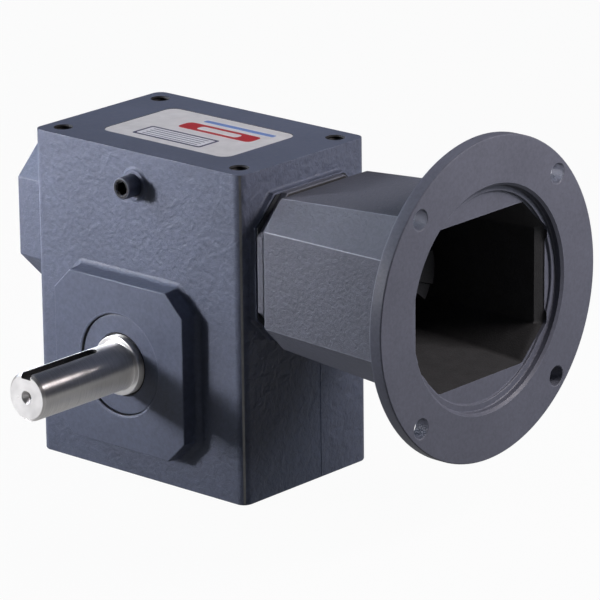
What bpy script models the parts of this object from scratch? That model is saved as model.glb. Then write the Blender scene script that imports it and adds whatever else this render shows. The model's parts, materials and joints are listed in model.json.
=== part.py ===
"""Right-angle worm gear reducer with a face-mount motor adapter.

The worm runs along X above the output shaft, which runs along Y and leaves the front at -Y.
The origin is on the base face, under the crossing of the two shafts. Dimensions are in millimetres.
"""

import math

import bmesh
import bpy
import numpy as np
from mathutils import Vector

MM = 0.001

# Housing
BODY_X = (-67.0, 77.0)
BODY_Y = (-48.0, 48.0)
BODY_HEIGHT = 174.5
BODY_CORNER = 5.5
WALL = 8.0
OUTPUT_HEIGHT = 62.4
CENTRE_DISTANCE = 60.3
WORM_HEIGHT = OUTPUT_HEIGHT + CENTRE_DISTANCE
BODY_MIDDLE_X = sum(BODY_X) / 2
BASE_HOLE_SPREAD = (61.1, 36.5)
BASE_HOLE_RADIUS = 4.4
PAD_HALF = 45.0
PAD_CORNER = 11.5
PAD_FACE_Y = -58.0
PAD_DRAFT = 1.3
CLOSED_BOSS_END = -86.5
OPEN_BOSS_END = 80.5
PLUG_SPOT = (5.0, 157.3)

# Gear set
STARTS = 1
TEETH = 30
MODULE = 3.0
PRESSURE_ANGLE = math.radians(20)
GEAR_PITCH_RADIUS = MODULE * TEETH / 2
WORM_PITCH_RADIUS = CENTRE_DISTANCE - GEAR_PITCH_RADIUS
LEAD = math.pi * MODULE * STARTS
WORM_TIP_RADIUS = WORM_PITCH_RADIUS + MODULE
WORM_ROOT_RADIUS = WORM_PITCH_RADIUS - 1.2 * MODULE
THREAD_HALF_LENGTH = 27.0
GEAR_FACE_HALF = 13.0
GEAR_OUTER_RADIUS = 49.3
RIM_BORE_RADIUS = 36.0
TOOTH_CLEARANCE = 0.4

# Shafts, bearings and seals
SHAFT_RADIUS = 12.7
SHAFT_END_Y = -125.0
JOURNAL_RADIUS = 15.7
GEAR_SEAT_RADIUS = 17.5
KEYWAY_WIDTH = 6.35
KEYWAY_DEPTH = 3.2
KEYWAY_LENGTH = 50.0
CUP_RADIUS = 29.55
SEAL_RADIUS = 26.8
INPUT_BEARING = {"near": 61.2, "wide": 16.0, "bore": 15.0, "outside": 31.0, "balls": 9, "ball": 4.7}
CLOSED_BEARING = {"near": -80.3, "wide": 14.0, "bore": 10.0, "outside": 23.5, "balls": 8, "ball": 3.9}
INPUT_SHAFT_RADIUS = 7.94
INPUT_SHAFT_END = 128.0
FIT = 0.2
ROUND = 32

# Motor adapter
ADAPTER_START = 81.5
ADAPTER_BODY_START = 89.6
FLANGE_BACK = 189.9
MOTOR_FACE = 197.7
FLANGE_RADIUS = 82.55
MOTOR_BOLT_CIRCLE = 74.61
MOTOR_HOLE_RADIUS = 5.15
PILOT_RADIUS = 57.15
PILOT_DEPTH = 4.3
ADAPTER_BOLT_CIRCLE = 37.0
ADAPTER_FLOOR = 99.0

# Output cover
COVER_HALF = 58.0
COVER_CORNER = 12.0
COVER_BOLT_SPREAD = 45.5
COVER_OPENING_RADIUS = 51.5
COVER_FACE_Y = 57.0

for old in list(bpy.data.objects):
    bpy.data.objects.remove(old, do_unlink=True)


def new_collection(name, hidden):
    collection = bpy.data.collections.new(name)
    bpy.context.scene.collection.children.link(collection)
    collection.hide_render = hidden
    return collection


PARTS = new_collection("worm_gear_reducer", False)
CUTTERS = new_collection("cutters", True)


def material(name, colour, roughness, metallic):
    made = bpy.data.materials.new(name)
    made.use_nodes = True
    shader = made.node_tree.nodes["Principled BSDF"]
    shader.inputs["Base Color"].default_value = (*colour, 1.0)
    shader.inputs["Roughness"].default_value = roughness
    shader.inputs["Metallic"].default_value = metallic
    made.diffuse_color = (*colour, 1.0)
    return made


PAINT = material("blue_grey_paint", (0.135, 0.155, 0.215), 0.5, 0.0)
ADAPTER_PAINT = material("adapter_paint", (0.15, 0.165, 0.21), 0.55, 0.0)
PLATE = material("plate_aluminium", (0.42, 0.41, 0.42), 0.45, 0.3)
STEEL = material("ground_steel", (0.6, 0.58, 0.55), 0.22, 1.0)
RACE = material("bearing_steel", (0.55, 0.55, 0.56), 0.18, 1.0)
DARK_STEEL = material("black_oxide_steel", (0.04, 0.04, 0.045), 0.45, 0.8)
BRONZE = material("bronze", (0.6, 0.36, 0.12), 0.35, 1.0)
IRON = material("cast_iron", (0.16, 0.16, 0.165), 0.6, 0.6)
RUBBER = material("seal_rubber", (0.015, 0.015, 0.016), 0.6, 0.0)
PAPER = material("gasket_fibre", (0.05, 0.055, 0.06), 0.85, 0.0)
SPIDER = material("spider_rubber", (0.02, 0.02, 0.022), 0.7, 0.0)


def made_object(name, verts, faces, paint=None, at=(0, 0, 0), smooth=None):
    """A mesh object from points in millimetres about the point at, a node if it has a material."""
    mesh = bpy.data.meshes.new(name)
    mesh.from_pydata([Vector(v) * MM for v in verts], [], faces)
    tidy = bmesh.new()
    tidy.from_mesh(mesh)
    bmesh.ops.recalc_face_normals(tidy, faces=tidy.faces)
    tidy.to_mesh(mesh)
    tidy.free()
    obj = bpy.data.objects.new(name, mesh)
    obj.location = Vector(at) * MM
    if paint is None:
        CUTTERS.objects.link(obj)
        obj.display_type = "WIRE"
        obj.hide_render = True
    else:
        PARTS.objects.link(obj)
        mesh.materials.append(paint)
    if smooth is not None:
        mesh.shade_smooth()
        mesh.set_sharp_from_angle(angle=math.radians(smooth))
    return obj


def along(axis, height, first, second):
    """The point at this height along the axis, with the two other coordinates in turning order."""
    if axis == "X":
        return (height, first, second)
    if axis == "Y":
        return (second, height, first)
    return (first, second, height)


def lathe(name, profile, axis, paint=None, at=(0, 0, 0), segments=40, ring=False, turn=0.0):
    """Turns (radius, height) pairs about the axis. A ring joins its last pair to its first."""
    verts = []
    rows = []
    for radius, height in profile:
        if radius == 0:
            rows.append([len(verts)] * segments)
            verts.append(along(axis, height, 0, 0))
            continue
        rows.append(list(range(len(verts), len(verts) + segments)))
        for step in range(segments):
            angle = 2 * math.pi * step / segments + turn
            verts.append(along(axis, height, radius * math.cos(angle), radius * math.sin(angle)))
    faces = []
    pairs = list(zip(rows, rows[1:] + ([rows[0]] if ring else [])))
    for low, high in pairs:
        for step in range(segments):
            after = (step + 1) % segments
            quad = [low[step], low[after], high[after], high[step]]
            faces.append([v for n, v in enumerate(quad) if v not in quad[:n]])
    for (radius, _), row in ((profile[0], rows[0][::-1]), (profile[-1], rows[-1])):
        if not ring and radius > 0:
            faces.append(row)
    return made_object(name, verts, faces, paint, at, 35)


def loft(name, outlines, axis, paint=None, at=(0, 0, 0), smooth=None):
    """Joins outlines of (height, [(first, second), ...]), each with the same number of points."""
    count = len(outlines[0][1])
    verts = [along(axis, height, *point) for height, points in outlines for point in points]
    faces = [list(range(count))[::-1], list(range(len(verts) - count, len(verts)))]
    for row in range(len(outlines) - 1):
        for step in range(count):
            after = (step + 1) % count
            first, second = row * count, (row + 1) * count
            faces.append([first + step, first + after, second + after, second + step])
    return made_object(name, verts, faces, paint, at, smooth)


def prism(name, points, low, high, axis, paint=None, at=(0, 0, 0), smooth=None):
    return loft(name, [(low, points), (high, points)], axis, paint, at, smooth)


def block(name, x, y, z, paint=None, at=(0, 0, 0)):
    corners = [(x[0], y[0]), (x[1], y[0]), (x[1], y[1]), (x[0], y[1])]
    return prism(name, corners, z[0], z[1], "Z", paint, at)


def octagon(half_first, half_second, flat_first, flat_second):
    """An octagon: flat_first is the half length of the flats at +-half_second, and so on."""
    return [
        (half_first, -flat_second), (half_first, flat_second),
        (flat_first, half_second), (-flat_first, half_second),
        (-half_first, flat_second), (-half_first, -flat_second),
        (-flat_first, -half_second), (flat_first, -half_second),
    ]


def cut_square(half_first, half_second, corner):
    return octagon(half_first, half_second, half_first - corner, half_second - corner)


def rounded(x, y, radius, steps):
    """A rectangle with rounded corners."""
    points = []
    middles = [(x[1], y[1], 0), (x[0], y[1], 90), (x[0], y[0], 180), (x[1], y[0], 270)]
    for cx, cy, start in middles:
        cx += -radius if cx == x[1] else radius
        cy += -radius if cy == y[1] else radius
        for step in range(steps + 1):
            angle = math.radians(start + 90 * step / steps)
            points.append((cx + radius * math.cos(angle), cy + radius * math.sin(angle)))
    return points


def drill(name, radius, low, high, axis, at=(0, 0, 0), segments=10):
    return lathe(name, [(radius, low), (radius, high)], axis, None, at, segments)


def hexagon(across_flats):
    radius = across_flats / math.sqrt(3)
    return [(radius * math.cos(math.pi * n / 3), radius * math.sin(math.pi * n / 3)) for n in range(6)]


def boolean(obj, tool, operation):
    modifier = obj.modifiers.new(tool.name, "BOOLEAN")
    modifier.operation = operation
    modifier.object = tool
    modifier.solver = "EXACT"
    modifier.show_render = modifier.show_viewport


def cut(obj, *tools):
    for tool in tools:
        boolean(obj, tool, "DIFFERENCE")


def add(obj, *tools):
    for tool in tools:
        boolean(obj, tool, "UNION")


def corners(spread):
    first, second = spread if isinstance(spread, tuple) else (spread, spread)
    return [(first, second), (-first, second), (-first, -second), (first, -second)]


OUTPUT_AXIS = (0, 0, OUTPUT_HEIGHT)
WORM_AXIS = (0, 0, WORM_HEIGHT)
MIDDLE = (BODY_MIDDLE_X, 0, 0)
ADAPTER_BOLTS = corners(ADAPTER_BOLT_CIRCLE / math.sqrt(2))
MOTOR_BOLTS = corners(MOTOR_BOLT_CIRCLE / math.sqrt(2))
COVER_BOLTS = corners(COVER_BOLT_SPREAD)


def make_housing():
    box = rounded(BODY_X, BODY_Y, BODY_CORNER, 3)
    housing = prism("housing", box, 0, BODY_HEIGHT, "Z", PAINT, smooth=30)
    face = cut_square(PAD_HALF, PAD_HALF, PAD_CORNER)
    foot = cut_square(PAD_HALF + PAD_DRAFT, PAD_HALF + PAD_DRAFT, PAD_CORNER + 0.5)
    pad = loft("front_pad", [(PAD_FACE_Y, face), (BODY_Y[0] + 3, foot)], "Y", at=OUTPUT_AXIS)
    closed = cut_square(41.2, 36.0, 15.0)
    closed_boss = prism("closed_boss", closed, CLOSED_BOSS_END, BODY_X[0] + 4, "X", at=WORM_AXIS)
    opened = cut_square(41.2, 38.8, 14.4)
    open_boss = prism("open_boss", opened, BODY_X[1] - 4, OPEN_BOSS_END, "X", at=WORM_AXIS)
    plug_at = (PLUG_SPOT[0], 0, PLUG_SPOT[1])
    plug_boss = lathe("plug_boss", [(7.9, -44), (7.4, -49.6)], "Y", at=plug_at, segments=14)
    add(housing, pad, closed_boss, open_boss, plug_boss)

    inner_x = (BODY_X[0] + WALL, BODY_X[1] - WALL)
    inner_y = (BODY_Y[0] + WALL, BODY_Y[1] - WALL)
    cavity = prism("cavity", rounded(inner_x, inner_y, 4, 2), 9, BODY_HEIGHT - WALL, "Z")
    for n, (dx, dy) in enumerate(corners((58.0, 34.0))):
        for level, z in enumerate([(0, 27), (BODY_HEIGHT - 25, BODY_HEIGHT)]):
            post = block(f"post_{n}_{level}", (dx - 12, dx + 12), (dy - 8, dy + 8), z, at=MIDDLE)
            cut(cavity, post)
    cut(cavity, drill("output_seat", 36.5, inner_y[0] - 4, -33.5, "Y", OUTPUT_AXIS, 28))
    cut(cavity, drill("input_seat", 42.3, 57, inner_x[1] + 4, "X", WORM_AXIS, 28))
    cut(housing, cavity)

    front = [(27.0, -60), (27.0, -48.5), (CUP_RADIUS + FIT, -48.5), (CUP_RADIUS + FIT, -30)]
    cut(housing, lathe("front_bore", front, "Y", at=OUTPUT_AXIS, segments=ROUND))
    cut(housing, drill("cover_opening", COVER_OPENING_RADIUS, 36, 50, "Y", OUTPUT_AXIS, 40))
    bearing = INPUT_BEARING
    outside = bearing["outside"] + FIT
    input_bore = [(27.0, 54), (27.0, bearing["near"] - FIT), (outside, bearing["near"] - FIT), (outside, 82)]
    cut(housing, lathe("input_bore", input_bore, "X", at=WORM_AXIS, segments=ROUND))
    blind = CLOSED_BEARING["outside"] + FIT
    cut(housing, drill("closed_bore", blind, CLOSED_BEARING["near"] - 1, -57, "X", WORM_AXIS, ROUND))

    for n, (dx, dy) in enumerate(corners(BASE_HOLE_SPREAD)):
        at = (BODY_MIDDLE_X + dx, dy, 0)
        cut(housing, drill(f"base_hole_{n}", BASE_HOLE_RADIUS, -1, 19, "Z", at))
        cut(housing, drill(f"top_hole_{n}", BASE_HOLE_RADIUS, BODY_HEIGHT - 19, BODY_HEIGHT + 1, "Z", at))
    for n, (y, z) in enumerate(ADAPTER_BOLTS):
        at = (0, y, WORM_HEIGHT + z)
        cut(housing, drill(f"adapter_tap_{n}", 4.2, 66, 82, "X", at, 12))
    for n, (x, z) in enumerate(COVER_BOLTS):
        at = (x, 0, OUTPUT_HEIGHT + z)
        cut(housing, drill(f"cover_tap_{n}", 5.0, 38, 50, "Y", at, 12))
    cut(housing, drill("plug_hole", 6.1, -52, -38, "Y", plug_at))
    cut(housing, drill("drain_hole", 6.1, -70, -57, "X", (0, 0, 21)))
    recess = rounded((-43.8, 43.8), (-27.7, 27.7), 3.2, 3)
    cut(housing, prism("plate_recess", recess, BODY_HEIGHT - 0.7, BODY_HEIGHT + 1, "Z", at=MIDDLE))


def make_plate_and_plugs():
    outline = rounded((-43.6, 43.6), (-27.5, 27.5), 3.0, 3)
    low = BODY_HEIGHT - 0.55
    prism("nameplate", outline, low, BODY_HEIGHT - 0.1, "Z", PLATE, MIDDLE)
    at = (PLUG_SPOT[0], 0, PLUG_SPOT[1])
    body = [(5.0, -41.0), (5.8, -42.0), (5.8, -57.6), (5.1, -58.3)]
    vent = lathe("vent_plug", body, "Y", PAINT, at, 16)
    cut(vent, prism("vent_socket", hexagon(6.35), -59.5, -53.0, "Y", at=at))
    at = (0, 0, 21)
    body = [(5.0, -60.0), (5.8, -61.0), (5.8, -69.6), (5.2, -70.2)]
    drain = lathe("drain_plug", body, "X", PAINT, at, 16)
    cut(drain, prism("drain_socket", hexagon(6.35), -72.0, -65.5, "X", at=at))


def make_cover():
    near = BODY_Y[1] + 0.7
    outline = cut_square(COVER_HALF, COVER_HALF, COVER_CORNER)
    cover = prism("output_cover", outline, near, COVER_FACE_Y, "Y", PAINT, OUTPUT_AXIS)
    hub = [(COVER_OPENING_RADIUS - FIT, near + 1), (COVER_OPENING_RADIUS - FIT, 42), (36.5, 42),
           (36.5, 33.8), (0, 33.8)]
    add(cover, lathe("cover_spigot", hub, "Y", at=OUTPUT_AXIS, segments=40))
    add(cover, lathe("cover_dome", [(34.0, near + 2), (32.5, 62), (0, 62)], "Y", at=OUTPUT_AXIS, segments=28))
    bore = [(CUP_RADIUS + FIT, 32), (CUP_RADIUS + FIT, 48.5), (24.5, 48.5), (24.5, 53.5)]
    cut(cover, lathe("cover_bore", bore, "Y", at=OUTPUT_AXIS, segments=ROUND))
    gasket = prism("cover_gasket", cut_square(57.5, 57.5, COVER_CORNER), near - 0.6, near - 0.1, "Y", PAPER,
                   OUTPUT_AXIS)
    cut(gasket, drill("gasket_opening", COVER_OPENING_RADIUS + 0.5, 40, 60, "Y", OUTPUT_AXIS, 40))
    for n, (x, z) in enumerate(COVER_BOLTS):
        at = (x, 0, OUTPUT_HEIGHT + z)
        clearance = drill(f"cover_hole_{n}", 5.0, 40, 60, "Y", at, 12)
        cut(cover, clearance)
        cut(gasket, clearance)
        bolt = [(0, 40.4), (4.3, 40.4), (4.76, 41.2), (4.76, 58.0), (0, 58.0)]
        shank = lathe(f"cover_shank_{n}", bolt, "Y", at=at, segments=12)
        head = prism(f"cover_bolt_{n + 1}", hexagon(14.3), COVER_FACE_Y + 0.2, COVER_FACE_Y + 6.4, "Y",
                     DARK_STEEL, at)
        add(head, shank)


def make_adapter():
    start = [
        (ADAPTER_BODY_START, octagon(46.3, 39.4, 32.6, 25.3)),
        (FLANGE_BACK + 2, octagon(50.9, 46.6, 34.8, 27.0)),
    ]
    adapter = loft("motor_adapter", start, "X", ADAPTER_PAINT, WORM_AXIS, 30)
    foot_shape = octagon(41.2, 38.8, 22.0, 19.6)
    foot = prism("adapter_foot", foot_shape, ADAPTER_START, 85.4, "X", at=WORM_AXIS)
    neck = prism("adapter_neck", octagon(39.4, 37.0, 22.0, 19.6), 84, 91, "X", at=WORM_AXIS)
    disc = [(FLANGE_RADIUS - 1.0, FLANGE_BACK), (FLANGE_RADIUS, FLANGE_BACK + 1.0),
            (FLANGE_RADIUS, MOTOR_FACE - 0.7), (FLANGE_RADIUS - 0.7, MOTOR_FACE)]
    flange = lathe("motor_flange", disc, "X", at=WORM_AXIS, segments=56)
    spigot = drill("adapter_spigot", 30.9, 77.5, 84, "X", WORM_AXIS, ROUND)
    add(adapter, foot, neck, flange, spigot)

    hollow = [
        (ADAPTER_FLOOR, octagon(40.5, 34.0, 29.0, 22.5)),
        (188.5, octagon(45.9, 41.3, 32.3, 24.6)),
        (192.2, octagon(50.0, 41.8, 32.6, 24.8)),
        (194.0, octagon(50.0, 41.8, 32.6, 24.8)),
    ]
    register = [(53.6, MOTOR_FACE - PILOT_DEPTH - 1.5), (53.6, MOTOR_FACE - PILOT_DEPTH),
                (PILOT_RADIUS, MOTOR_FACE - PILOT_DEPTH), (PILOT_RADIUS, MOTOR_FACE - 1.0),
                (PILOT_RADIUS + 2.0, MOTOR_FACE + 1.0)]
    bore = [(22.0, 76), (22.0, 82.5), (17.0, 82.5), (17.0, 87.5), (23.7, 87.5), (23.7, 101)]
    cut(adapter, loft("adapter_hollow", hollow, "X", at=WORM_AXIS))
    cut(adapter, lathe("pilot_register", register, "X", at=WORM_AXIS, segments=48))
    cut(adapter, lathe("adapter_bore", bore, "X", at=WORM_AXIS, segments=ROUND))
    outline = cut_square(40.4, 38.0, 14.2)
    low = OPEN_BOSS_END + 0.2
    gasket = prism("adapter_gasket", outline, low, ADAPTER_START - 0.2, "X", PAPER, WORM_AXIS)
    cut(gasket, drill("gasket_bore", 31.4, 79, 83, "X", WORM_AXIS, ROUND))
    for n, (y, z) in enumerate(MOTOR_BOLTS):
        at = (0, y, WORM_HEIGHT + z)
        cut(adapter, drill(f"motor_hole_{n}", MOTOR_HOLE_RADIUS, 188, 199, "X", at, 16))
    for n, (y, z) in enumerate(ADAPTER_BOLTS):
        at = (0, y, WORM_HEIGHT + z)
        clearance = drill(f"adapter_hole_{n}", 4.2, 79, 101, "X", at, 12)
        cut(adapter, clearance)
        cut(gasket, clearance)
        head = ADAPTER_FLOOR + 0.2
        screw = [(0, 68), (3.5, 68), (3.95, 69), (3.95, head), (6.3, head), (6.3, head + 7.4),
                 (5.8, head + 7.9), (0, head + 7.9)]
        bolt = lathe(f"adapter_bolt_{n + 1}", screw, "X", DARK_STEEL, at, 12)
        cut(bolt, prism(f"adapter_bolt_socket_{n}", hexagon(6.35), head + 3.5, head + 9, "X", at=at))


def make_seals():
    case = [(18.5, -56.4), (SEAL_RADIUS, -56.4), (SEAL_RADIUS, -49.8), (25.4, -49.8), (25.4, -54.8),
            (18.5, -54.8)]
    lathe("output_seal_case", case, "Y", PAINT, OUTPUT_AXIS, ROUND, ring=True)
    lip = [(16.3, -56.8), (18.2, -56.8), (18.2, -51.0), (16.0, -51.6), (16.0, -52.6), (17.0, -54.6)]
    lathe("output_seal_lip", lip, "Y", RUBBER, OUTPUT_AXIS, ROUND, ring=True)
    seal = [(14.6, 96.0), (23.4, 96.0), (23.4, 88.6), (22.3, 88.6), (22.3, 94.4), (16.8, 94.4), (15.0, 89.0),
            (12.8, 90.4)]
    lathe("input_seal", seal, "X", RUBBER, WORM_AXIS, 28, ring=True)


def make_output_bearing(side, label):
    """A tapered roller bearing whose cup is seated away from the gear. side is -1 at the front."""
    segments = ROUND

    def mirrored(profile):
        return [(r, side * y) for r, y in (profile if side > 0 else profile[::-1])]

    cup = [(CUP_RADIUS, 48.2), (24.9, 48.2), (27.5, 36.6), (CUP_RADIUS, 36.6)]
    lathe(f"output_cup_{label}", mirrored(cup), "Y", RACE, OUTPUT_AXIS, segments, ring=True)
    cone = [(JOURNAL_RADIUS + 0.15, 49.2), (18.3, 49.2), (21.5, 36.4), (23.4, 35.8), (23.4, 33.3),
            (JOURNAL_RADIUS + 0.15, 33.3)]
    lathe(f"output_cone_{label}", mirrored(cone), "Y", RACE, OUTPUT_AXIS, segments, ring=True)
    band = [(21.0, 48.6), (22.1, 48.6), (25.2, 36.2), (24.1, 36.2)]
    cage = lathe(f"output_cage_{label}", mirrored(band), "Y", RACE, OUTPUT_AXIS, segments, ring=True)
    low, high = Vector((21.73, 47.3)), Vector((24.42, 36.9))
    count = 12
    for n in range(count):
        angle = 2 * math.pi * (n + 0.5) / count
        outward = Vector((math.sin(angle), 0, math.cos(angle)))
        sideways = Vector((math.cos(angle), 0, -math.sin(angle)))
        ends = [outward * end[0] + Vector((0, side * end[1], 0)) for end in (low, high)]
        lift = (ends[1] - ends[0]).normalized().cross(sideways)
        verts = []
        for middle, radius in zip(ends, (2.35, 2.65)):
            for step in range(7):
                turn = 2 * math.pi * step / 7
                verts.append(middle + radius * (math.cos(turn) * sideways + math.sin(turn) * lift))
        faces = [list(range(7)), list(range(7, 14))]
        faces += [[k, (k + 1) % 7, 7 + (k + 1) % 7, 7 + k] for k in range(7)]
        add(cage, made_object(f"roller_{label}_{n}", verts, faces, at=OUTPUT_AXIS))


def make_ball_bearing(size, label):
    """A deep groove ball bearing on the worm axis."""
    segments = 28
    near = size["near"]
    far = near + size["wide"]
    middle = (near + far) / 2
    bore = size["bore"] + FIT
    outside = size["outside"]
    pitch = (bore + outside) / 2
    ball = size["ball"]
    edge = math.radians(48)
    groove = (ball + 0.3) / math.cos(edge / 2)
    land = groove * math.cos(edge)
    arc = [-edge, 0.0, edge]
    outer_race = [(pitch + groove * math.cos(a), middle + groove * math.sin(a)) for a in arc]
    inner_race = [(pitch - groove * math.cos(a), middle + groove * math.sin(a)) for a in arc]
    outer = [(outside, near), (pitch + land, near), *outer_race, (pitch + land, far), (outside, far)]
    inner = [(bore, near), (pitch - land, near), *inner_race, (pitch - land, far), (bore, far)]
    lathe(f"worm_outer_ring_{label}", outer, "X", RACE, WORM_AXIS, segments, ring=True)
    lathe(f"worm_inner_ring_{label}", inner, "X", RACE, WORM_AXIS, segments, ring=True)
    wide = 0.55 * ball
    band = [(pitch - 0.7, middle - wide), (pitch + 0.7, middle - wide), (pitch + 0.7, middle + wide),
            (pitch - 0.7, middle + wide)]
    cage = lathe(f"worm_cage_{label}", band, "X", BRONZE, WORM_AXIS, segments, ring=True)
    for n in range(size["balls"]):
        angle = 2 * math.pi * (n + 0.25) / size["balls"]
        centre = (middle, pitch * math.cos(angle), WORM_HEIGHT + pitch * math.sin(angle))
        arc = [(ball * math.sin(math.pi * k / 5), -ball * math.cos(math.pi * k / 5)) for k in range(1, 5)]
        rows = [(0, -ball), *arc, (0, ball)]
        add(cage, lathe(f"ball_{label}_{n}", rows, "X", at=centre, segments=8))


def make_output_shaft():
    profile = [
        (0, SHAFT_END_Y), (SHAFT_RADIUS - 1.4, SHAFT_END_Y), (SHAFT_RADIUS, SHAFT_END_Y + 1.4),
        (SHAFT_RADIUS, -59.6), (JOURNAL_RADIUS - 0.5, -59.6), (JOURNAL_RADIUS, -59.1),
        (JOURNAL_RADIUS, -33.0), (21.5, -33.0), (21.5, -18.5), (GEAR_SEAT_RADIUS, -18.5),
        (GEAR_SEAT_RADIUS, 18.4), (JOURNAL_RADIUS, 18.4), (JOURNAL_RADIUS, 50.0), (JOURNAL_RADIUS - 1, 51.0),
        (0, 51.0),
    ]
    shaft = lathe("output_shaft", profile, "Y", STEEL, OUTPUT_AXIS, ROUND)
    floor = SHAFT_RADIUS - KEYWAY_DEPTH
    half = KEYWAY_WIDTH / 2
    inner = SHAFT_END_Y + KEYWAY_LENGTH
    slot = [(half, SHAFT_END_Y - 2)]
    slot += [(half * math.cos(a), inner - half + half * math.sin(a)) for a in np.linspace(0, math.pi, 7)]
    slot += [(-half, SHAFT_END_Y - 2)]
    cut(shaft, prism("output_keyway", slot, floor, SHAFT_RADIUS + 3, "Z", at=OUTPUT_AXIS))
    centre = [(0, 8), (1.6, 7), (1.6, 2.6), (3.8, -1), (0, -1)]
    centre = [(radius, SHAFT_END_Y + depth) for radius, depth in centre]
    cut(shaft, lathe("centre_drill", centre, "Y", at=OUTPUT_AXIS, segments=12))
    seat = block("gear_keyway", (-4.15, 4.15), (-14.4, 14.4), (13.3, 24.0), at=OUTPUT_AXIS)
    cut(shaft, seat)
    block("gear_key", (-4.0, 4.0), (-14.2, 14.2), (13.5, 20.6), STEEL, OUTPUT_AXIS)
    spacer = [(JOURNAL_RADIUS + FIT, 18.9), (20.5, 18.9), (20.5, 33.0), (JOURNAL_RADIUS + FIT, 33.0)]
    lathe("gear_spacer", spacer, "Y", STEEL, OUTPUT_AXIS, 24, ring=True)
    bore = GEAR_SEAT_RADIUS + 0.15
    rim = RIM_BORE_RADIUS - 0.15
    hub = [(bore, -18.2), (25.0, -18.2), (27.0, -12.6), (rim, -12.6), (rim, 12.6), (27.0, 12.6),
           (25.0, 18.2), (bore, 18.2)]
    hub_piece = lathe("gear_hub", hub, "Y", IRON, OUTPUT_AXIS, ROUND, ring=True)
    cut(hub_piece, block("hub_keyway", (-4.15, 4.15), (-20, 20), (10.0, 20.8), at=OUTPUT_AXIS))


def thread_half(radius):
    """Half the axial thickness of the worm thread at this radius."""
    return LEAD / STARTS / 4 + (WORM_PITCH_RADIUS - radius) * math.tan(PRESSURE_ANGLE)


def space_limits(radius, offset):
    """The angles about the gear axis that the worm thread sweeps in the slice this far off its middle."""
    phi = np.linspace(-0.6, 0.6, 2401)
    x = radius * np.sin(phi)
    down = radius * np.cos(phi) - CENTRE_DISTANCE
    away = np.hypot(offset, down)
    turn = np.arctan2(down, offset) + math.pi / 2
    middle = phi + (LEAD * turn / (2 * math.pi) - x) / GEAR_PITCH_RADIUS
    half = LEAD / STARTS / 4 + (WORM_PITCH_RADIUS - away) * math.tan(PRESSURE_ANGLE)
    half = (half + TOOTH_CLEARANCE) / GEAR_PITCH_RADIUS
    met = away < WORM_TIP_RADIUS + TOOTH_CLEARANCE
    return (middle - half)[met].min(), (middle + half)[met].max()


def make_gear_rim():
    """Throated teeth whose spaces are what the worm thread sweeps, slice by slice."""
    sections = []
    for offset in np.linspace(-GEAR_FACE_HALF, GEAR_FACE_HALF, 5):
        tip_reach = math.sqrt((WORM_TIP_RADIUS + TOOTH_CLEARANCE) ** 2 - offset**2)
        root = CENTRE_DISTANCE - tip_reach + 0.02
        core = (WORM_ROOT_RADIUS + 0.4) ** 2 - offset**2
        tip = min(GEAR_OUTER_RADIUS, CENTRE_DISTANCE - math.sqrt(core) if core > 0 else GEAR_OUTER_RADIUS)
        levels = [root, root + 0.45 * (tip - root), tip]
        limits = [space_limits(level, offset) for level in levels]
        points = []
        for tooth in range(TEETH):
            shift = 2 * math.pi * tooth / TEETH
            rise = [(level, high + shift) for level, (_, high) in zip(levels, limits)]
            shift += 2 * math.pi / TEETH
            fall = [(level, low + shift) for level, (low, _) in zip(levels, limits)][::-1]
            points += [(r * math.cos(a), r * math.sin(a)) for r, a in rise + fall]
        sections.append((offset, points))
    rim = loft("gear_rim", sections, "Y", BRONZE, OUTPUT_AXIS, 30)
    cut(rim, drill("rim_bore", RIM_BORE_RADIUS, -20, 20, "Y", OUTPUT_AXIS, ROUND))


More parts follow.
